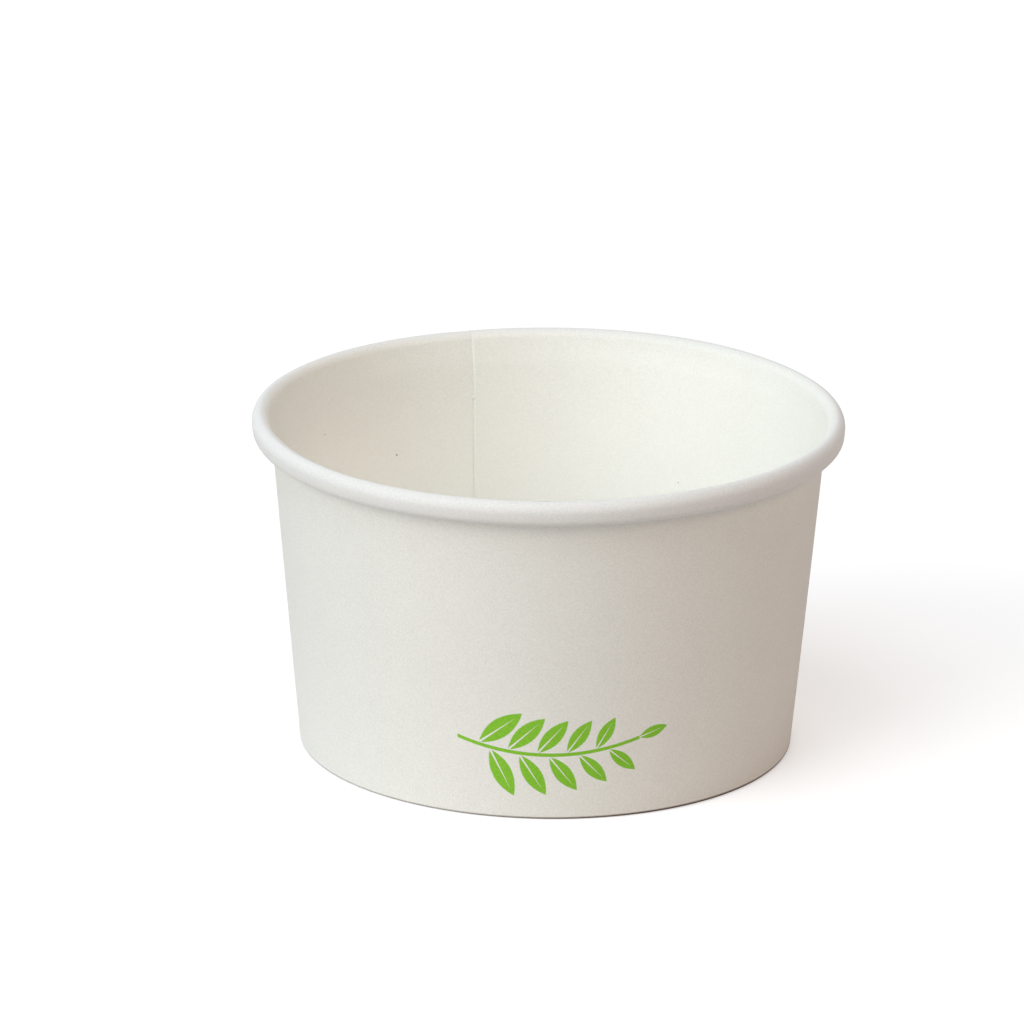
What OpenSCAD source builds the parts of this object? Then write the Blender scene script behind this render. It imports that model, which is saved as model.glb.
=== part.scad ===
// Paper dessert tub. The sidewall is one board blank: wrapped into a cone and sealed along a lap seam,
// rolled outwards into the rim and turned up inside of the foot as a hem. The base disc closes it: its skirt
// is sealed between the wall and the hem. Millimetres, +Z up, with the origin on the table under the centre.

/* [Tub] */
// Outside diameter of the rolled rim
rim_d = 96; // [92:0.5:120]
// Height from the table to the top of the rim
tub_h = 55.2; // [30:0.2:110]
// Outside diameter of the wall where it meets the table
foot_d = 80.2; // [66:0.2:88]

/* [Board] */
// Thickness of the sidewall's board
wall_t = 0.35; // [0.25:0.01:0.5]
// Thickness of the base's board
base_t = 0.35; // [0.25:0.01:0.5]
// Thickness of the coating film between two sealed faces
film_t = 0.05; // [0.02:0.01:0.1]

/* [Rim] */
// Width of the roll, across the wall
roll_w = 3.3; // [2.4:0.1:5]
// Straight height of the roll's outer side, between its two bends
roll_side = 0.5; // [0.1:0.1:2]
// Gap between the roll's tucked edge and the wall
roll_gap = 0.12; // [0.08:0.01:0.3]
// Length of the tucked edge inside of the roll
tuck_l = 0.7; // [0.2:0.1:1]

/* [Foot] */
// Height of the hem inside of the foot
hem_h = 5; // [3:0.1:9]
// Inside radius of the pressed creases under the hem
crease_r = 0.07; // [0.02:0.01:0.15]
// Clear height between the hem's top and the base's underside
base_clear = 1.2; // [0.8:0.1:4]
// Outside radius of the bend between the base and its skirt
skirt_r = 0.9; // [0.6:0.05:1.1]

/* [Side seam] */
// Width of the overlap, measured at the rim
lap_w = 8; // [4:0.5:15]
// Gap beside the inner layer's cut edge
seam_gap = 0.3; // [0.1:0.05:0.6]
// Width over which the outer layer steps out over the inner one
step_w = 2.5; // [1:0.1:5]
// Height of the outer layer's trimmed lower edge above the foot's crease
lap_lift = 0.6; // [0.2:0.1:3]
// Direction of the inner layer's cut edge, anticlockwise from +X
seam_angle = 107; // [0:1:359]

/* [Hidden] */
$fn = 120;

// Sizes are rounded to a micrometre, so that neighbouring stretches of board share their corners exactly
function um(size) = round(size * 1000) / 1000;
board = um(wall_t);
base_board = um(base_t);
film = um(film_t);

// Rim: outside radii of the top bend, and of the bend that tucks the roll's edge in under it
roll_r = um(roll_w / 2);
tuck_r = um((roll_w - wall_t - roll_gap) / 2);
side_l = um(roll_side);
top_c = [rim_d / 2 - roll_r, tub_h - roll_r];

// Wall: its lean from the vertical, so that its outer face runs from the foot into the top bend
top_from_foot = top_c - [foot_d / 2, 0];
lean = atan2(top_from_foot.x, top_from_foot.y) - asin((roll_r - board) / norm(top_from_foot));

// Foot: the two creases, the outer one under the wall and the inner one under the hem
crease_in = um(crease_r);
crease_out = crease_in + board;
skirt_depth = board + film;
hem_depth = skirt_depth + base_board + film;
crease_c = under_wall(crease_out, crease_out);
flat_l = um((hem_depth - crease_in - crease_out) / cos(lean));
hem_l = um((hem_h - crease_out) / cos(lean));
wall_l = um((top_c - crease_c) * [sin(lean), cos(lean)]);

// Base: height of its top face, and the centre of the bend into its skirt
skirt_out = um(skirt_r);
skirt_in = skirt_out - base_board;
base_top = hem_h + base_clear + base_board;
skirt_c = under_wall(skirt_depth + skirt_out, base_top - skirt_out);
skirt_l = um((skirt_c.y - skirt_out * sin(lean) - board - film) / cos(lean));

// Seam: widths turned into angles at the rim
seam_r = rim_d / 2 - roll_w;
lap_a = turn_of(lap_w);
gap_a = turn_of(seam_gap);
step_a = turn_of(step_w);

function turn_of(width) = width / seam_r * 180 / PI;

// The point of a section at a height, that deep under the wall's outer face
function under_wall(depth, z) = [um(foot_d / 2 + z * tan(lean) - depth / cos(lean)), um(z)];

// A straight stretch of board between two opposite corners
module run(a, b) {
    polygon([a, [b.x, a.y], b, [a.x, b.y]]);
}

// A full ring of board, from which the bends are cut
module ring(r_in, r_out) {
    difference() {
        circle(r_out);
        circle(r_in);
    }
}

// A half turn of board about a centre: over it with side 1, under it with side -1
module bend(centre, r_in, r_out, side) {
    reach = 2 * r_out;
    translate(centre) intersection() {
        ring(r_in, r_out);
        run([-reach, 0], [reach, side * reach]);
    }
}

// A pressed crease between the flat foot and a leaning stretch above it
module crease(side) {
    reach = 2 * crease_out;
    intersection() {
        ring(crease_in, crease_out);
        run([0, -reach], [side * reach, reach]);
        rotate(-lean) run([-reach, -reach], [reach, 0]);
    }
}

// The wall, the roll and the roll's tucked edge, up from the outer crease and along the wall's lean
module wall_section() {
    top = [crease_in + roll_r, wall_l];
    low = top + [roll_r - tuck_r, -side_l];
    run([crease_in, 0], [crease_out, wall_l]);
    bend(top, roll_r - board, roll_r, 1);
    run(top + [roll_r, 0], low + [tuck_r - board, 0]);
    bend(low, tuck_r - board, tuck_r, -1);
    run(low - [tuck_r, 0], low + [board - tuck_r, um(tuck_l)]);
}

// The outer layer at the lap: on the wall's outside and nested in the roll, pressed one film deep into it
module lap_section() {
    top = [crease_in + roll_r, wall_l];
    nest_r = roll_r - board + film;
    run([crease_out - film, um(lap_lift)], [crease_out + board, wall_l]);
    bend(top, roll_r - 2 * board, nest_r, 1);
    run(top + [nest_r, 0], top + [roll_r - 2 * board, -um(side_l / 2)]);
}

module foot_section() {
    crease(1);
    run([-flat_l, -crease_out], [0, -crease_in]);
    translate([-flat_l, 0]) {
        crease(-1);
        rotate(-lean) run([-crease_out, 0], [-crease_in, hem_l]);
    }
}

module base_section() {
    reach = 2 * skirt_out;
    run([0, skirt_c.y + skirt_in], skirt_c + [0, skirt_out]);
    translate(skirt_c) {
        difference() {
            ring(skirt_in, skirt_out);
            run([-reach, -reach], [0, reach]);
            rotate(-lean) run([-reach, -reach], [reach, 0]);
        }
        rotate(-lean) run([skirt_in, -skirt_l], [skirt_out, 0]);
    }
}

// Turns a section about the tub's axis, from one direction to another
module swing(from, to) {
    rotate([0, 0, from]) rotate_extrude(angle = to - from) translate(crease_c) children();
}

// Cuts the outer layer down to the inner one where it steps off it, as far up as the roll hides it
module step_cut() {
    start = under_wall(-board, 0);
    fall = start.x - (start.x - board / cos(lean)) * cos(step_a);
    slope = atan2(fall * cos(lean), start.x * sin(step_a));
    cut_l = wall_l - side_l - tuck_r / 2;
    rotate([0, 0, seam_angle + gap_a]) translate([start.x, 0, 0]) rotate([0, lean, 0])
        rotate([0, 0, slope]) translate([0, -2 * step_w, -roll_w]) cube([roll_w, 6 * step_w, cut_l + roll_w]);
}

module sidewall() {
    gap_end = seam_angle + gap_a;
    color("#e8e9e2") union() {
        swing(gap_end, seam_angle + 360) {
            foot_section();
            rotate(-lean) wall_section();
        }
        difference() {
            swing(seam_angle - lap_a, gap_end + 2 * step_a) rotate(-lean) lap_section();
            step_cut();
        }
    }
}

module base_disc() {
    color("#eeeee2") rotate_extrude() base_section();
}

sidewall();
base_disc();
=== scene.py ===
"""A paper dessert tub: its folded board, its print and a plain studio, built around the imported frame."""

import math

import bmesh
import bpy
import numpy as np
from mathutils import Matrix


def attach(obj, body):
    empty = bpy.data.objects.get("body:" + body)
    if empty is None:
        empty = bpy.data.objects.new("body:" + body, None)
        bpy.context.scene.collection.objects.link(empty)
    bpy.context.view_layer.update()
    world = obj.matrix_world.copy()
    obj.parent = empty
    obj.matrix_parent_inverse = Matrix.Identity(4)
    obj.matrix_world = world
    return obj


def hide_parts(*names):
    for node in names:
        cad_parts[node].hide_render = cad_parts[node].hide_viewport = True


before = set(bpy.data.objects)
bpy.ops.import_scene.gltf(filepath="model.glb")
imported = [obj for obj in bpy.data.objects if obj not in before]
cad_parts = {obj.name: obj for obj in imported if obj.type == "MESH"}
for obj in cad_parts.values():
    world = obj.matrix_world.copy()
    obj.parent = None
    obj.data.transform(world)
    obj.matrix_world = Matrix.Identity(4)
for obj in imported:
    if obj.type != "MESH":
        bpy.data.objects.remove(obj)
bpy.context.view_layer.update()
scene = bpy.context.scene
scene.view_settings.view_transform = "Standard"

# Sizes in millimetres, the same as in the part's source
MM = 0.001
RIM_D = 96.0
TUB_H = 55.2
FOOT_D = 80.2
BOARD = 0.35
FILM = 0.05
ROLL_W = 3.3
TUCK_L = 0.7
HEM_H = 5.0
CREASE_IN = 0.07
CREASE_OUT = CREASE_IN + BOARD
BASE_CLEAR = 1.2
SKIRT_OUT = 0.9
LAP_W = 8.0
SEAM_GAP = 0.3
LAP_LIFT = 0.6
SEAM_ANGLE = 107.0

# Sizes that follow from them
ROLL_R = ROLL_W / 2
TOP_R = RIM_D / 2 - ROLL_R
TOP_Z = TUB_H - ROLL_R
LEAN = math.atan2(TOP_R - FOOT_D / 2, TOP_Z)
LEAN -= math.asin((ROLL_R - BOARD) / math.hypot(TOP_R - FOOT_D / 2, TOP_Z))
HEM_DEPTH = 2 * (BOARD + FILM)
FLAT_L = (HEM_DEPTH - CREASE_IN - CREASE_OUT) / math.cos(LEAN)
HEM_L = (HEM_H - CREASE_OUT) / math.cos(LEAN)
BASE_TOP = HEM_H + BASE_CLEAR + BOARD
SEAM_R = RIM_D / 2 - ROLL_W
LAP_A = math.degrees(LAP_W / SEAM_R)
GAP_A = math.degrees(SEAM_GAP / SEAM_R)

# Rim's curl: the wall flares out a little, bends to the crest, turns over it and comes down in a wider bend
FLARE_R = 10.0
FLARE_TURN = 6.0
INNER_R = 1.55
CREST_R = 1.1
CREST_TURN = 130.0
BEND_R = 1.9
SIDE_L = 0.95
LOWER_R = 1.35

# Seam: widths of the outer layer's step, low and at the rim, and how thin the inner layer's edge is pressed
STEP_LOW = 7.0
STEP_TOP = 4.5
PRESS_W = 1.6
TIP_WALL = 0.2
TIP_ROLL = 0.03
BEVEL_W = 0.36
BEVEL_D = 0.105

# Knurl that presses the hem onto the skirt: ridges round the foot, depth, fade, and distance from the edge
KNURL_COUNT = 90
KNURL_DEPTH = 0.06
KNURL_FADE = 0.5
KNURL_TOP = 0.4

# Dip in the middle of the base
BASE_DISH = 0.3

# Rows of the mesh up the hem, and the angle in degrees from which an edge is drawn sharp
HEM_ROWS = 15
SHARP_ANGLE = 55

# The inner cut edge isn't quite straight: waves as size, rate and start, their reach in degrees, and a drop
EDGE_WAVES = ((0.07, 0.23, 0.4), (0.045, 0.61, 1.9), (0.03, 1.45, 0.2))
EDGE_TURN = 1.1
DROP_Z = 44.3
DROP_SIZE = 0.45
DROP_OUT = 0.34
DROP_RISE = 0.2

# Stray fibres in the inner face: direction in degrees, height and size
FLECKS = ((126.3, 36.3, 0.19), (148.2, 43.3, 0.13), (59.6, 31.4, 0.11))

# How the rim is out of round and out of level, as waves round the tub: count, cosine and sine part
ROUND_WAVES = (
    (2, -0.187, 0.13),
    (3, -0.189, -0.022),
    (5, 0.02, -0.015),
    (7, -0.012, 0.014),
)
LEVEL_WAVES = (
    (1, 0.103, 0.137),
    (2, 0.082, -0.147),
    (3, -0.118, 0.022),
    (6, 0.015, 0.01),
    (9, -0.008, 0.012),
)

# Layout of the bake map: the coated face below, the other face above, and four thin bands for the cut edges
MAP_EDGE = 0.002
MAP_COATED = 0.02
MAP_OTHER = 0.53
MAP_FACE_H = 0.45
MAP_BAND_H = 0.006
MAP_BANDS = (0.484, 0.504, 0.494, 0.514)

# Camera, as found from the photograph: focal length over the frame's width, distance, and angles in degrees
FOCAL = 6848.8 / 1024
SENSOR = 36
CAMERA_DISTANCE = 1116.08
CAMERA_AIM_Z = 16.8
CAMERA_RISE = 19.152
CAMERA_ROLL = 0.841
CAMERA_PAN = 0.289
CAMERA_TILT = -1.036


def smooth(share):
    """A soft ramp from 0 to 1."""
    share = np.clip(share, 0, 1)
    return share * share * (3 - 2 * share)


def cos_sin(degrees):
    """Cosine and sine of an angle in degrees."""
    angle = math.radians(degrees)
    return math.cos(angle), math.sin(angle)


def turned(points, angle):
    """Points of a section, turned anticlockwise about its origin."""
    c = math.cos(angle)
    s = math.sin(angle)
    return points @ np.array([[c, s], [-s, c]])


def under_wall(depth, z):
    """The radius and height of a point that deep under the wall's outer face."""
    return np.array([FOOT_D / 2 + z * math.tan(LEAN) - depth / math.cos(LEAN), z])


def straight(start, end, side, shares):
    """A straight stretch of board: points of its coated face, and directions to its other face."""
    shares = np.asarray(shares, float)[:, None]
    points = np.array(start) * (1 - shares) + np.array(end) * shares
    return points, np.tile(np.array(side, float), (len(points), 1))


def bent(centre, radius, first, last, count, way):
    """A bend of board between two angles in degrees. Way 1 has the other face outside, and -1 inside."""
    angles = np.radians(np.linspace(first, last, count + 1))
    rays = np.stack([np.cos(angles), np.sin(angles)], 1)
    return np.array(centre) + radius * rays, way * rays


def placed(stretch, origin, lean):
    """A stretch moved to its place in the section, turned by the wall's lean if it leans."""
    points, sides = stretch
    angle = -LEAN if lean else 0
    return turned(points, angle) + origin, turned(sides, angle)


def joined(stretches):
    """One path from several stretches, whose ends are shared."""
    points = [stretches[0][0]] + [p[1:] for p, _ in stretches[1:]]
    sides = [stretches[0][1]] + [s[1:] for _, s in stretches[1:]]
    return np.concatenate(points), np.concatenate(sides)


def way_along(points):
    """How far along a path each of its points is."""
    lengths = np.linalg.norm(np.diff(points, axis=0), axis=1)
    return np.concatenate([[0], np.cumsum(lengths)])


def curled(start, stretches):
    """A chain of board that leaves its start upwards, of (radius, end angle, count) or (length, count)."""
    chain = []
    here = np.array(start, float)
    angle = 0.0
    for stretch in stretches:
        if len(stretch) == 2:
            length, count = stretch
            end = here + length * np.array([math.sin(angle), math.cos(angle)])
            side = (math.cos(angle), -math.sin(angle))
            chain.append(straight(here, end, side, np.linspace(0, 1, count + 1)))
        else:
            radius, last, count = stretch
            centre = here + radius * np.array([math.cos(angle), -math.sin(angle)])
            chain.append(bent(centre, radius, 180 - math.degrees(angle), 180 - last, count, -1))
            angle = math.radians(last)
        here = chain[-1][0][-1]
    return chain


def rim_chain(start, flare_l):
    """The rim's curl from the wall's end to the tucked edge."""
    return curled(
        start,
        [
            (FLARE_R, FLARE_TURN, 6),
            (flare_l, 3),
            (INNER_R, 90 - math.degrees(LEAN), 14),
            (CREST_R, CREST_TURN, 12),
            (BEND_R, 180.0, 8),
            (SIDE_L, 2),
            (LOWER_R, 360.0, 20),
            (TUCK_L, 3),
        ],
    )


def rim_lengths(crease):
    """Lengths of the straight wall and of the flare that bring the curl to the tub's height and width."""
    points = turned(joined(rim_chain((CREASE_IN, 0), 0.0))[0], -LEAN) + crease
    flare = math.radians(FLARE_TURN) + LEAN
    wall_l = (TUB_H - points[:, 1].max()) / math.cos(LEAN)
    short = RIM_D / 2 - points[:, 0].max() - wall_l * math.sin(LEAN)
    flare_l = short / (math.sin(flare) - math.cos(flare) * math.tan(LEAN))
    return wall_l - flare_l * math.cos(flare) / math.cos(LEAN), flare_l


def sidewall_path():
    """The sidewall's section from the hem's edge to the roll's tucked edge, with each point's way up it."""
    lean = math.degrees(LEAN)
    crease = under_wall(CREASE_OUT, CREASE_OUT)
    inner = crease - np.array([FLAT_L, 0])
    wall_l, flare_l = rim_lengths(crease)
    low_steps = (0, 0.15, 0.3, 0.45, LAP_LIFT, 0.8, 1.1, 1.6)
    drop_at = (DROP_Z - crease[1]) / math.cos(LEAN)
    drop_steps = drop_at + DROP_SIZE * np.linspace(-1.2, 1.2, 13)
    below_drop = np.arange(2.6, drop_at - 1, 1.5)
    above_drop = np.arange(drop_at + 1, wall_l - 0.5, 1.2)
    wall_steps = np.unique(np.concatenate([low_steps, below_drop, drop_steps, above_drop, [wall_l]]))
    hem_steps = np.linspace(0, 1, HEM_ROWS)
    foot = [
        placed(straight((-CREASE_IN, HEM_L), (-CREASE_IN, 0), (-1, 0), hem_steps), inner, True),
        placed(bent((0, 0), CREASE_IN, 180 - lean, 270, 5, 1), inner, False),
        placed(straight((-FLAT_L, -CREASE_IN), (0, -CREASE_IN), (0, -1), (0, 0.5, 1)), crease, False),
        placed(bent((0, 0), CREASE_IN, 270, 360 - lean, 5, 1), crease, False),
    ]
    wall = placed(straight((CREASE_IN, 0), (CREASE_IN, wall_l), (1, 0), wall_steps / wall_l), crease, True)
    roll = [placed(stretch, crease, True) for stretch in rim_chain((CREASE_IN, wall_l), flare_l)]
    points, sides = joined(foot + [wall] + roll)
    foot_count = len(joined(foot)[0])
    roll_count = len(points) - foot_count - len(wall_steps) + 1
    past_wall = way_along(points[-roll_count - 1 :])[1:]
    rise = np.concatenate([np.zeros(foot_count), wall_steps[1:], wall_l + past_wall])
    bend_at = wall_l + FLARE_R * math.radians(FLARE_TURN) + flare_l
    hem_rise = np.zeros(len(points))
    hem_rise[:HEM_ROWS] = np.linspace(HEM_L, 0, HEM_ROWS)
    return points, sides, rise, hem_rise, bend_at


def base_path():
    """The base's section from its centre over the bend to the skirt's edge."""
    lean = math.degrees(LEAN)
    skirt = under_wall(BOARD + FILM + SKIRT_OUT, BASE_TOP - SKIRT_OUT)
    skirt_l = (skirt[1] - SKIRT_OUT * math.sin(LEAN) - BOARD - FILM) / math.cos(LEAN)
    rings = np.concatenate([[0, 0.02, 0.05], np.linspace(0.1, 0.9, 17), [0.95, 0.98, 1]])
    top = straight((0, BASE_TOP), (skirt[0], BASE_TOP), (0, -1), rings)
    bend = bent(skirt, SKIRT_OUT, 90, -lean, 10, -1)
    down = straight((SKIRT_OUT, 0), (SKIRT_OUT, -skirt_l), (-1, 0), np.linspace(0, 1, 6))
    points, sides = joined([top, bend, placed(down, skirt, True)])
    dip = BASE_DISH * (1 - smooth(points[:, 0] / skirt[0]))
    return points - np.stack([0 * dip, dip], 1), sides


def out_of_true(radius, z, azimuth):
    """Radius and height with the rim's small waves, which fade towards the foot and the axis."""
    weight = np.clip(z / TUB_H, 0, 1) ** 1.5 * np.clip(2 * radius / FOOT_D, 0, 1)
    for count, cosine, sine in ROUND_WAVES:
        radius = radius + weight * (cosine * np.cos(count * azimuth) + sine * np.sin(count * azimuth))
    for count, cosine, sine in LEVEL_WAVES:
        z = z + weight * (cosine * np.cos(count * azimuth) + sine * np.sin(count * azimuth))
    return radius, z


def in_space(section, azimuth):
    """Points in metres from radius and height, for every direction."""
    radius, z = out_of_true(section[..., 0], section[..., 1], azimuth)
    return np.stack([radius * np.cos(azimuth), radius * np.sin(azimuth), z], -1) * MM


def board_object(name, coated, other, around, along, keep, closed, materials):
    """A mesh of board from two grids of points, with side faces along every edge of the kept cells."""
    rows, columns = coated.shape[:2]
    number = np.arange(rows * columns).reshape(rows, columns)
    last = rows if closed else rows - 1
    faces = []
    slots = []
    maps = []
    across = around / around[-1]
    height = along / along[-1]

    def at(row, column, back):
        return int(number[row % rows, column]) + (rows * columns if back else 0)

    def inset(share):
        return MAP_EDGE + (1 - 2 * MAP_EDGE) * share

    def spot(row, column, back):
        start = MAP_OTHER if back else MAP_COATED
        return inset(across[row]), start + MAP_FACE_H * height[column]

    for row in range(last):
        for column in range(columns - 1):
            if not keep(row, column):
                continue
            ring = [(row, column), (row + 1, column), (row + 1, column + 1), (row, column + 1)]
            faces.append([at(*p, False) for p in ring])
            maps.append([spot(*p, False) for p in ring])
            faces.append([at(*p, True) for p in reversed(ring)])
            maps.append([spot(*p, True) for p in reversed(ring)])
            slots += [0, 1]
            beside = [(row, column - 1), (row + 1, column), (row, column + 1), (row - 1, column)]
            for k, cell in enumerate(beside):
                if keep(*cell):
                    continue
                a = ring[k]
                b = ring[(k + 1) % 4]
                faces.append([at(*b, False), at(*a, False), at(*a, True), at(*b, True)])
                if k in (0, 2):
                    ends = (inset(across[b[0]]), inset(across[a[0]]))
                else:
                    ends = (inset(height[b[1]]), inset(height[a[1]]))
                v = MAP_BANDS[k]
                top = v + MAP_BAND_H
                maps.append([(ends[0], v), (ends[1], v), (ends[1], top), (ends[0], top)])
                slots.append(2)
    points = np.concatenate([coated.reshape(-1, 3), other.reshape(-1, 3)])
    mesh = bpy.data.meshes.new(name)
    mesh.from_pydata(points.tolist(), [], faces)
    layer = mesh.uv_layers.new(name="OFBake")
    layer.uv.foreach_set("vector", np.array([c for face in maps for c in face], np.float32).ravel())
    mesh.polygons.foreach_set("material_index", slots)
    for material in materials:
        mesh.materials.append(material)
    work = bmesh.new()
    work.from_mesh(mesh)
    bmesh.ops.delete(work, geom=[v for v in work.verts if not v.link_faces], context="VERTS")
    bmesh.ops.remove_doubles(work, verts=work.verts, dist=1e-8)
    bmesh.ops.dissolve_degenerate(work, dist=1e-9, edges=work.edges)
    work.to_mesh(mesh)
    work.free()
    mesh.shade_smooth()
    mesh.set_sharp_from_angle(angle=math.radians(SHARP_ANGLE))
    made = bpy.data.objects.new(name, mesh)
    scene.collection.objects.link(made)
    return made


def make_sidewall(materials):
    """The wrapped, lapped, rolled and hemmed blank, from its inner cut edge round clockwise."""
    points, sides, rise, hem_rise, bend_at = sidewall_path()
    turns = np.concatenate(
        [
            np.arange(0, 1.15, 0.1),
            np.linspace(1.2, 352, 530),
            np.linspace(352, 360 - GAP_A, 33)[1:],
            np.linspace(360 - GAP_A, 360 + LAP_A, 25)[1:],
        ]
    )
    first_lap = int(np.argmin(abs(turns - (360 - GAP_A))))
    lap_column = int(np.argmin(abs(rise - LAP_LIFT)))
    turn = turns[:, None]
    tip = TIP_WALL + (TIP_ROLL - TIP_WALL) * smooth((rise - bend_at) / INNER_R)
    from_edge = np.radians(turn) * SEAM_R
    inner = tip + (BOARD - tip) * smooth(from_edge / PRESS_W)
    bevel = BEVEL_D * tip / TIP_WALL * np.clip(1 - from_edge / BEVEL_W, 0, 1) * smooth(rise / LAP_LIFT)
    under = tip + (BOARD - tip) * smooth(np.radians(turn - 360) * SEAM_R / PRESS_W) + FILM
    ahead = np.radians(360 - GAP_A - turn) * SEAM_R
    step = STEP_LOW + (STEP_TOP - STEP_LOW) * smooth((rise / bend_at - 0.4) / 0.6)
    layer = under * np.clip(1 - ahead / step, 0, 1) ** 2 * smooth(rise / LAP_LIFT)
    thick = np.where(turn < 180, BOARD + (inner - BOARD) * smooth(rise / LAP_LIFT), BOARD)
    ridge = 0.5 + 0.5 * np.cos(np.radians(turn) * KNURL_COUNT)
    band = smooth(hem_rise / KNURL_FADE - 1) * smooth((HEM_L - KNURL_TOP - hem_rise) / KNURL_FADE)
    knurl = KNURL_DEPTH * (1 - ridge**3) * band
    drop_at = (DROP_Z - CREASE_OUT) / math.cos(LEAN)
    drop = 1 - smooth(abs(rise - drop_at) / DROP_SIZE)
    bead = DROP_RISE * drop * (1 - smooth(from_edge / DROP_SIZE))
    edge_shift = DROP_OUT * drop
    for size, rate, start in EDGE_WAVES:
        edge_shift = edge_shift + size * np.sin(rate * rise + start) * smooth(rise / 2)
    edge_shift = np.degrees(edge_shift / SEAM_R) * (1 - smooth(turn / EDGE_TURN))
    azimuth = np.radians(SEAM_ANGLE - turn + edge_shift) + 0 * rise
    coated = in_space(points + sides * (layer + bevel - bead)[..., None], azimuth)
    other = in_space(points + sides * (layer + thick - knurl)[..., None], azimuth)
    along = way_along(points + sides * BOARD / 2)

    def keep(row, column):
        inside = 0 <= row < len(turns) - 1 and 0 <= column < len(points) - 1
        return inside and (row < first_lap or column >= lap_column)

    return board_object("tub_sidewall", coated, other, turns, along, keep, False, materials)


def make_base(materials):
    """The base disc with its down-turned skirt."""
    points, sides = base_path()
    turns = np.linspace(0, 360, 181)
    azimuth = np.radians(turns[:-1, None]) + 0 * points[:, 0]
    coated = in_space(points + 0 * azimuth[..., None], -azimuth)
    other = in_space(points + sides * BOARD + 0 * azimuth[..., None], -azimuth)
    along = way_along(points)

    def keep(row, column):
        return -1 < column < len(points) - 1 or column < 0

    return board_object("tub_base", coated, other, turns, along, keep, True, materials)


class Look:
    """One material, with short ways to add nodes to it."""

    def __init__(self, name):
        self.material = bpy.data.materials.new(name)
        self.material.use_nodes = True
        self.tree = self.material.node_tree
        self.shader = self.tree.nodes["Principled BSDF"]
        place = self.new("TexCoord").outputs["Object"]
        self.mm = self.vector("SCALE", place, scale=1 / MM)

    def new(self, kind, **settings):
        node = self.tree.nodes.new("ShaderNode" + kind)
        for key, value in settings.items():
            setattr(node, key, value)
        return node

    def put(self, socket, value):
        if isinstance(value, bpy.types.NodeSocket):
            self.tree.links.new(value, socket)
        else:
            socket.default_value = value

    def math(self, operation, *values):
        node = self.new("Math", operation=operation)
        for socket, value in zip(node.inputs, values):
            self.put(socket, value)
        return node.outputs[0]

    def vector(self, operation, *values, scale=None):
        node = self.new("VectorMath", operation=operation)
        for socket, value in zip(node.inputs, values):
            self.put(socket, value)
        if scale is not None:
            node.inputs["Scale"].default_value = scale
        return node.outputs["Value" if operation in ("LENGTH", "DISTANCE", "DOT_PRODUCT") else "Vector"]

    def noise(self, scale, detail, rough):
        node = self.new("TexNoise")
        self.put(node.inputs["Vector"], self.mm)
        node.inputs["Scale"].default_value = scale
        node.inputs["Detail"].default_value = detail
        node.inputs["Roughness"].default_value = rough
        return node.outputs["Fac"]

    def ramp(self, value, low, high, to_low=0.0, to_high=1.0):
        node = self.new("MapRange")
        for socket, item in zip(node.inputs, (value, low, high, to_low, to_high)):
            self.put(socket, item)
        return node.outputs[0]

    def mix(self, factor, first, second):
        node = self.new("Mix", data_type="RGBA")
        self.put(node.inputs[0], factor)
        self.put(node.inputs[6], first)
        self.put(node.inputs[7], second)
        return node.outputs[2]

    def place_parts(self):
        """X, Z and the distance from the axis, in millimetres."""
        parts = self.new("SeparateXYZ")
        self.put(parts.inputs[0], self.mm)
        radius = self.vector("LENGTH", self.vector("MULTIPLY", self.mm, (1, 1, 0)))
        return parts.outputs["X"], parts.outputs["Z"], radius

    def finish(self, colour, grain, finish):
        """Sets the colour, and lets the grain make the bump and the roughness."""
        strength, depth, smoothest, roughest, sheen = finish
        bump = self.new("Bump")
        bump.inputs["Strength"].default_value = strength
        bump.inputs["Distance"].default_value = depth
        self.put(bump.inputs["Height"], grain)
        self.put(self.shader.inputs["Normal"], bump.outputs["Normal"])
        self.put(self.shader.inputs["Base Color"], colour)
        self.put(self.shader.inputs["Roughness"], self.ramp(grain, 0.3, 0.7, smoothest, roughest))
        self.shader.inputs["Specular IOR Level"].default_value = sheen
        return self.material


# The print: a leafy sprig round its own centre, in millimetres along the wall and up it
PRINT_AZIMUTH = 270.8
PRINT_Z = 12.4
PRINT_R = 41.2
STEM_HALF = 14.6
STEM_THICK = 0.3
STEM_BOW = 0.011
STEM_DROP = 1.2
LEAF_PAIRS = 5
LEAF_FIRST = -11.4
LEAF_PITCH = 4.7
LEAF_STAGGER = 1.9
LEAF_LONG = 8.8
LEAF_SHRINK = 0.7
LEAF_WIDE = 0.36
LEAF_GAP = 0.35
LEAF_TURN = 52
END_LEAF_HALF = 2.5
END_LEAF_WIDE = 0.95
END_LEAF_REACH = 2.4
RIB_WIDE = 0.05
RIB_TAPER = 0.07
PRINT_RAGGED = 0.06


def leaf_at(x, turn, reach, half, wide):
    """Middle, direction in radians, half length and half width of a leaf that leaves the stem at x."""
    way = math.atan(2 * STEM_BOW * x) + math.radians(turn)
    middle = (x + reach * math.cos(way), STEM_BOW * x * x - STEM_DROP + reach * math.sin(way))
    return middle, way, half, wide


def leaf_places():
    """Every leaf of the sprig: pairs along the stem and one at its end."""
    leaves = []
    for k in range(LEAF_PAIRS):
        half = (LEAF_LONG - LEAF_SHRINK * k) / 2
        for turn, shift in ((LEAF_TURN, 0.0), (-LEAF_TURN, LEAF_STAGGER)):
            x = LEAF_FIRST + LEAF_PITCH * k + shift
            leaves.append(leaf_at(x, turn, half + LEAF_GAP, half, half * LEAF_WIDE))
    leaves.append(leaf_at(STEM_HALF, 0, END_LEAF_REACH, END_LEAF_HALF, END_LEAF_WIDE))
    return leaves


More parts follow.
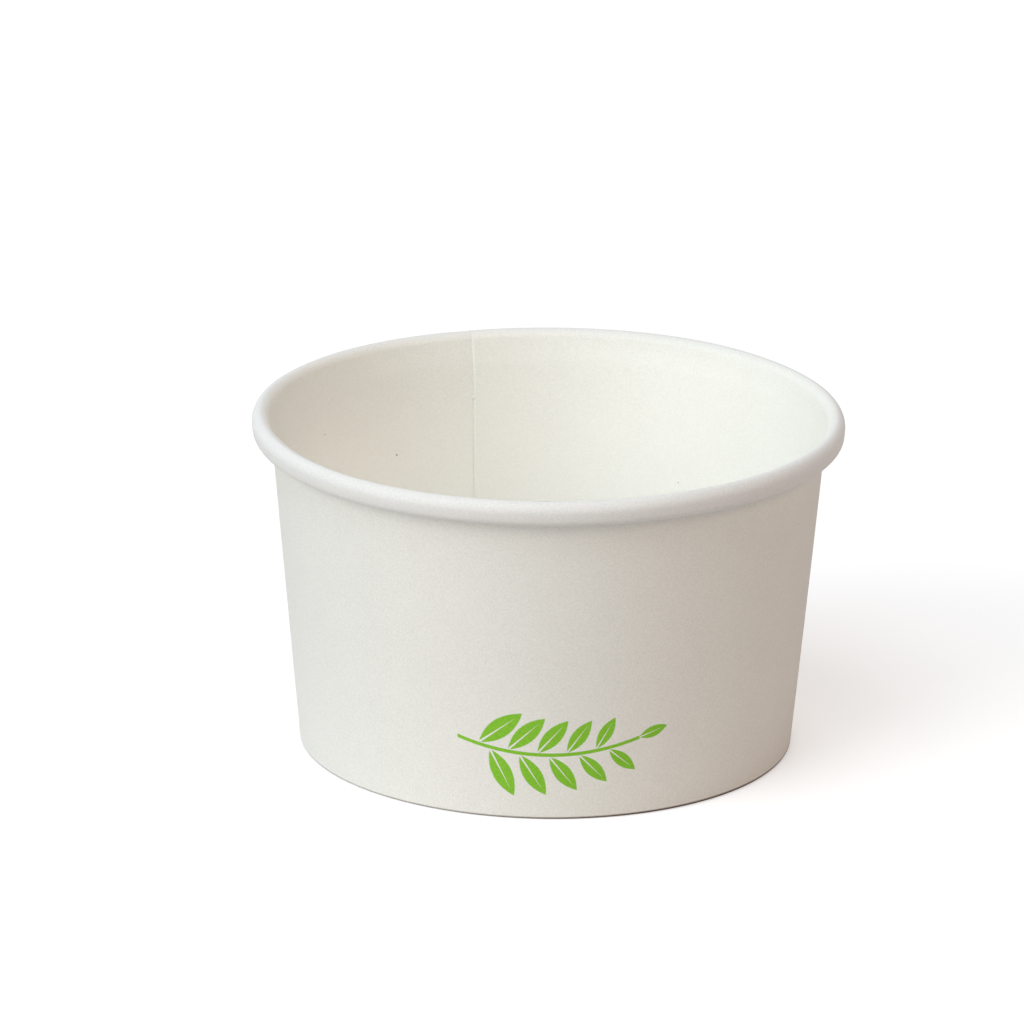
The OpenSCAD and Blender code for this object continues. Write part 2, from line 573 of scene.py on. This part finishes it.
def print_mask(look):
    """1 where the sprig is printed. Each shape is a field that falls below 1 inside of it."""
    parts = look.new("SeparateXYZ")
    look.put(parts.inputs[0], look.mm)
    azimuth = look.math("ARCTAN2", parts.outputs["Y"], parts.outputs["X"])
    x = look.math("MULTIPLY", look.math("ADD", azimuth, math.radians(360 - PRINT_AZIMUTH)), PRINT_R)
    y = look.math("SUBTRACT", parts.outputs["Z"], PRINT_Z)
    flat = look.new("CombineXYZ")
    look.put(flat.inputs[0], x)
    look.put(flat.inputs[1], y)
    bow = look.math("MULTIPLY_ADD", look.math("MULTIPLY", x, x), STEM_BOW, -STEM_DROP)
    off_stem = look.math("DIVIDE", look.math("ABSOLUTE", look.math("SUBTRACT", y, bow)), STEM_THICK)
    past_end = look.math("DIVIDE", look.math("ABSOLUTE", x), STEM_HALF)
    field = look.math("MAXIMUM", off_stem, look.math("POWER", past_end, 30.0))
    for middle, way, half, wide in leaf_places():
        own = look.new("Mapping", vector_type="TEXTURE")
        look.put(own.inputs["Vector"], flat.outputs[0])
        own.inputs["Location"].default_value = (*middle, 0)
        own.inputs["Rotation"].default_value = (0, 0, way)
        own.inputs["Scale"].default_value = (half, wide, 1)
        axes = look.new("SeparateXYZ")
        look.put(axes.inputs[0], own.outputs[0])
        off = look.math("ABSOLUTE", axes.outputs["Y"])
        body = look.math("MULTIPLY_ADD", axes.outputs["X"], axes.outputs["X"], off)
        rib_wide = look.math("MULTIPLY_ADD", axes.outputs["X"], -RIB_TAPER, RIB_WIDE)
        rib = look.math("MULTIPLY_ADD", look.math("SUBTRACT", rib_wide, off), 8.0, 1.0)
        field = look.math("MINIMUM", field, look.math("MAXIMUM", body, rib))
    ragged = look.math("MULTIPLY_ADD", look.noise(4.0, 2, 0.6), 2 * PRINT_RAGGED, -PRINT_RAGGED)
    return look.ramp(look.math("ADD", field, ragged), 1.04, 0.96)


# Darker and lighter tone of each surface, low on the tub and high on it where that changes. Those changes
# with height are painted light and shade.
OUTSIDE_LOW = ((0.8, 0.797, 0.758, 1), (0.895, 0.892, 0.853, 1))
OUTSIDE_HIGH = ((0.755, 0.752, 0.715, 1), (0.845, 0.842, 0.805, 1))
INSIDE_LOW = ((0.905, 0.91, 0.87, 1), (0.96, 0.967, 0.93, 1))
INSIDE_HIGH = ((0.808, 0.815, 0.775, 1), (0.884, 0.895, 0.852, 1))
ROLL_LOW = ((0.683, 0.674, 0.659, 1), (0.76, 0.746, 0.73, 1))
ROLL_HIGH = ((0.744, 0.758, 0.751, 1), (0.829, 0.839, 0.833, 1))
BASE_COATED = ((0.865, 0.86, 0.81, 1), (0.93, 0.925, 0.88, 1))
BASE_RAW = ((0.75, 0.745, 0.7, 1), (0.84, 0.835, 0.79, 1))
CUT_EDGE = ((0.76, 0.745, 0.69, 1), (0.88, 0.87, 0.82, 1))
INK = ((0.205, 0.5, 0.025, 1), (0.265, 0.6, 0.045, 1))
# Colour of the painted contact shadow along the foot's fold
FOOT_SHADOW = (0.095, 0.05, 0.026, 1)
FIBRE = (0.4, 0.36, 0.31, 1)

# Heights in millimetres between which the low tone goes over into the high one, as painted light and shade
# by height
OUTSIDE_FADE = (1.0, 25.0)
INSIDE_FADE = (31.0, 54.0)
ROLL_FADE = (52.0, 55.0)

# Distance from the wall's line over which the inner face goes over into the roll's own greyer tone
ROLL_START = (0.6, 1.6)

# Painted contact shadow along the foot's fold: upper and full height, radii it starts at, and its growth
# along X
FOOT_SHADOW_Z = (0.46, 0.2)
FOOT_SHADOW_R = (39.6, 39.85)
FOOT_SHADOW_TALLER = (-10.0, 30.0, 0.0, 0.14)
FOOT_SHADOW_DARKER = (-28.0, 14.0, 0.45, 1.0)

# Sizes of a surface's clouds and fibre grain in millimetres, and the clouds' share in its tone
OUTSIDE_GRAIN = (5.0, 0.28)
INSIDE_GRAIN = (6.0, 0.3)
BASE_TOP_GRAIN = (7.0, 0.3)
CLOUD_SHARE = 0.08

# Finish of a surface: bump strength and depth in metres, roughness between two values, and sheen
COATED = (0.4, 0.00003, 0.5, 0.62, 0.3)
RAW = (0.5, 0.00004, 0.72, 0.86, 0.25)
RAW_UNDER = (0.5, 0.00004, 0.74, 0.88, 0.25)
CUT = (0.5, 0.00003, 0.8, 0.95, 0.2)


def board_tone(look, cloud_size, grain_size):
    """Faint clouds and a fine fibre grain. Gives the colour's tone and the bump's height."""
    cloud = look.noise(1 / cloud_size, 2, 0.5)
    grain = look.noise(1 / grain_size, 3, 0.65)
    tone = look.math("MULTIPLY_ADD", cloud, CLOUD_SHARE, look.math("MULTIPLY", grain, 1 - CLOUD_SHARE))
    return look.ramp(tone, 0.36, 0.64), grain


def outside_look():
    """Uncoated white board with the print on it, painted a little lighter low down, and with a painted
    contact shadow along the fold.
    """
    look = Look("board_outside")
    tone, grain = board_tone(look, *OUTSIDE_GRAIN)
    x, z, radius = look.place_parts()
    # The outside is painted lighter low down and darker high up, as bounced light and shade by height
    low = look.mix(tone, *OUTSIDE_LOW)
    colour = look.mix(look.ramp(z, *OUTSIDE_FADE), low, look.mix(tone, *OUTSIDE_HIGH))
    printed = look.mix(print_mask(look), colour, look.mix(tone, *INK))
    # A thin line along the fold, darker and taller towards +X, is painted contact shadow
    above = look.math("SUBTRACT", z, look.ramp(x, *FOOT_SHADOW_TALLER))
    line = look.math("MULTIPLY", look.ramp(above, *FOOT_SHADOW_Z), look.ramp(radius, *FOOT_SHADOW_R))
    foot_shadow = look.math("MULTIPLY", line, look.ramp(x, *FOOT_SHADOW_DARKER))
    return look.finish(look.mix(foot_shadow, printed, FOOT_SHADOW), grain, RAW)


def fleck_mask(look):
    """1 at the stray fibres of the inner face."""
    field = None
    for azimuth, z, size in FLECKS:
        spot = in_space(under_wall(BOARD, z), math.radians(azimuth)) / MM
        away = look.math("DIVIDE", look.vector("DISTANCE", look.mm, spot.tolist()), size)
        field = away if field is None else look.math("MINIMUM", field, away)
    ragged = look.math("MULTIPLY", look.noise(5.0, 2, 0.6), 0.6)
    return look.ramp(look.math("ADD", field, ragged), 1.4, 0.9)


def inside_look():
    """The coated face, with a low sheen. It is painted lighter deep down, and the roll is greyer, painted
    lighter on its crest and darker on its lower half.
    """
    look = Look("board_inside")
    tone, grain = board_tone(look, *INSIDE_GRAIN)
    _, z, radius = look.place_parts()
    # Painted light: the inner face is lighter deep down
    inner_low = look.mix(tone, *INSIDE_LOW)
    inner = look.mix(look.ramp(z, *INSIDE_FADE), inner_low, look.mix(tone, *INSIDE_HIGH))
    # Painted light and shade on the roll: lighter on its crest, darker on its lower half
    roll_low = look.mix(tone, *ROLL_LOW)
    rolled = look.mix(look.ramp(z, *ROLL_FADE), roll_low, look.mix(tone, *ROLL_HIGH))
    wall = look.math("MULTIPLY_ADD", z, math.tan(LEAN), FOOT_D / 2 - BOARD / math.cos(LEAN))
    colour = look.mix(look.ramp(look.math("SUBTRACT", radius, wall), *ROLL_START), inner, rolled)
    return look.finish(look.mix(fleck_mask(look), colour, FIBRE), grain, COATED)


def edge_look():
    """The raw cut edge, with the board's plies as fine streaks."""
    look = Look("board_edge")
    streak = look.noise(9.0, 3, 0.6)
    return look.finish(look.mix(look.ramp(streak, 0.3, 0.7), *CUT_EDGE), streak, CUT)


def base_look(name, sizes, colours, finish):
    """One face of the base, with no print and no wear."""
    look = Look(name)
    tone, grain = board_tone(look, *sizes)
    return look.finish(look.mix(tone, *colours), grain, finish)


edge = edge_look()
sidewall = make_sidewall([inside_look(), outside_look(), edge])
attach(sidewall, "root")
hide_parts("sidewall")
base_top = base_look("base_top", BASE_TOP_GRAIN, BASE_COATED, COATED)
base_under = base_look("base_under", OUTSIDE_GRAIN, BASE_RAW, RAW_UNDER)
base = make_base([base_top, base_under, edge])
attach(base, "root")
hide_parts("base_disc")

# Lamps of the studio: direction and height in degrees, distance and side in metres, power and colour
LAMPS = {
    "key_low": (220, 25, 2.2, 1.6, 26.8, (0.98, 1.0, 0.98)),
    "key_high": (231, 65, 2.2, 1.6, 17.2, (0.8, 0.92, 1.0)),
    "left": (185, 20, 2.2, 1.2, 4.1, (1.0, 0.95, 1.0)),
    "front": (300, 30, 2.2, 1.2, 9.8, (1.0, 0.76, 0.6)),
    "right": (0, 30, 2.2, 1.2, 7.2, (1.0, 0.74, 0.63)),
    "back": (100, 40, 2.2, 1.2, 7.5, (1.0, 0.98, 0.95)),
    "top": (225, 85, 2.2, 1.6, 4.5, (1.0, 0.95, 0.9)),
}

# The room's light, and the floor as bounced light and as the camera meets it
ROOM = (0.1, 0.1, 0.1, 1)
FLOOR_BOUNCE = (0.63, 0.62, 0.61, 1)
FLOOR_SEEN = (0.76, 0.77, 0.785, 1)
FLOOR_LIFT = (0.43, 0.43, 0.43, 1)
FLOOR_SIZE = 4.0
FLOOR_GAP = 0.02


def seen_directly(tree):
    """1 for rays that the camera, a reflection or a clear surface sends."""
    path = tree.nodes.new("ShaderNodeLightPath")
    total = path.outputs["Is Camera Ray"]
    for name in ("Is Glossy Ray", "Is Transmission Ray"):
        node = tree.nodes.new("ShaderNodeMath")
        node.operation = "MAXIMUM"
        tree.links.new(total, node.inputs[0])
        tree.links.new(path.outputs[name], node.inputs[1])
        total = node.outputs[0]
    return total


def make_floor():
    """A pale diffuse floor. It looks near white and keeps the shadow, and its bounce is warmer."""
    mesh = bpy.data.meshes.new("floor")
    s = FLOOR_SIZE
    z = -FLOOR_GAP * MM
    mesh.from_pydata([(-s, -s, z), (s, -s, z), (s, s, z), (-s, s, z)], [], [(0, 1, 2, 3)])
    floor = bpy.data.objects.new("floor", mesh)
    scene.collection.objects.link(floor)
    material = bpy.data.materials.new("floor_paper")
    material.use_nodes = True
    tree = material.node_tree
    shader = tree.nodes["Principled BSDF"]
    seen = seen_directly(tree)
    colour = tree.nodes.new("ShaderNodeMix")
    colour.data_type = "RGBA"
    colour.inputs[6].default_value = FLOOR_BOUNCE
    colour.inputs[7].default_value = FLOOR_SEEN
    tree.links.new(seen, colour.inputs[0])
    tree.links.new(colour.outputs[2], shader.inputs["Base Color"])
    shader.inputs["Roughness"].default_value = 1.0
    shader.inputs["Specular IOR Level"].default_value = 0.0
    shader.inputs["Emission Color"].default_value = FLOOR_LIFT
    tree.links.new(seen, shader.inputs["Emission Strength"])
    mesh.materials.append(material)


def make_world():
    """A little even room light, with a white background behind the floor."""
    world = bpy.data.worlds.new("room")
    scene.world = world
    world.use_nodes = True
    tree = world.node_tree
    light = tree.nodes["Background"]
    light.inputs["Color"].default_value = ROOM
    white = tree.nodes.new("ShaderNodeBackground")
    white.inputs["Color"].default_value = (1, 1, 1, 1)
    blend = tree.nodes.new("ShaderNodeMixShader")
    tree.links.new(seen_directly(tree), blend.inputs[0])
    tree.links.new(light.outputs[0], blend.inputs[1])
    tree.links.new(white.outputs[0], blend.inputs[2])
    tree.links.new(blend.outputs[0], tree.nodes["World Output"].inputs["Surface"])


def make_lamp(name, azimuth, rise, distance, side, power, colour):
    """A large soft square lamp that faces the tub."""
    lamp = bpy.data.lights.new(name, "AREA")
    lamp.shape = "SQUARE"
    lamp.size = side
    lamp.energy = power
    lamp.color = colour
    made = bpy.data.objects.new(name, lamp)
    scene.collection.objects.link(made)
    turn = Matrix.Rotation(math.radians(azimuth + 90), 4, "Z")
    tip = Matrix.Rotation(math.radians(90 - rise), 4, "X")
    made.matrix_world = turn @ tip @ Matrix.Translation((0, 0, distance))


def make_camera():
    """The photograph's camera, which looks along +Y and down."""
    data = bpy.data.cameras.new("camera")
    data.sensor_width = SENSOR
    data.lens = FOCAL * SENSOR
    data.clip_start = 0.05
    data.clip_end = 50
    camera = bpy.data.objects.new("camera", data)
    scene.collection.objects.link(camera)
    c, s = cos_sin(CAMERA_RISE)
    back = np.array([0, -c, s])
    up = np.array([0, s, c])
    axes = np.array([[1, 0, 0], up, -back])
    c, s = cos_sin(CAMERA_ROLL)
    roll = np.array([[c, s, 0], [-s, c, 0], [0, 0, 1]])
    c, s = cos_sin(CAMERA_PAN)
    pan = np.array([[c, 0, s], [0, 1, 0], [-s, 0, c]])
    c, s = cos_sin(CAMERA_TILT)
    tilt = np.array([[1, 0, 0], [0, c, s], [0, -s, c]])
    right, above, ahead = tilt @ pan @ roll @ axes
    place = (np.array([0, 0, CAMERA_AIM_Z]) + CAMERA_DISTANCE * back) * MM
    camera.matrix_world = Matrix(np.column_stack([right, above, -ahead]).tolist()).to_4x4()
    camera.location = place.tolist()
    scene.camera = camera


make_floor()
make_world()
for lamp_name, settings in LAMPS.items():
    make_lamp(lamp_name, *settings)
make_camera()
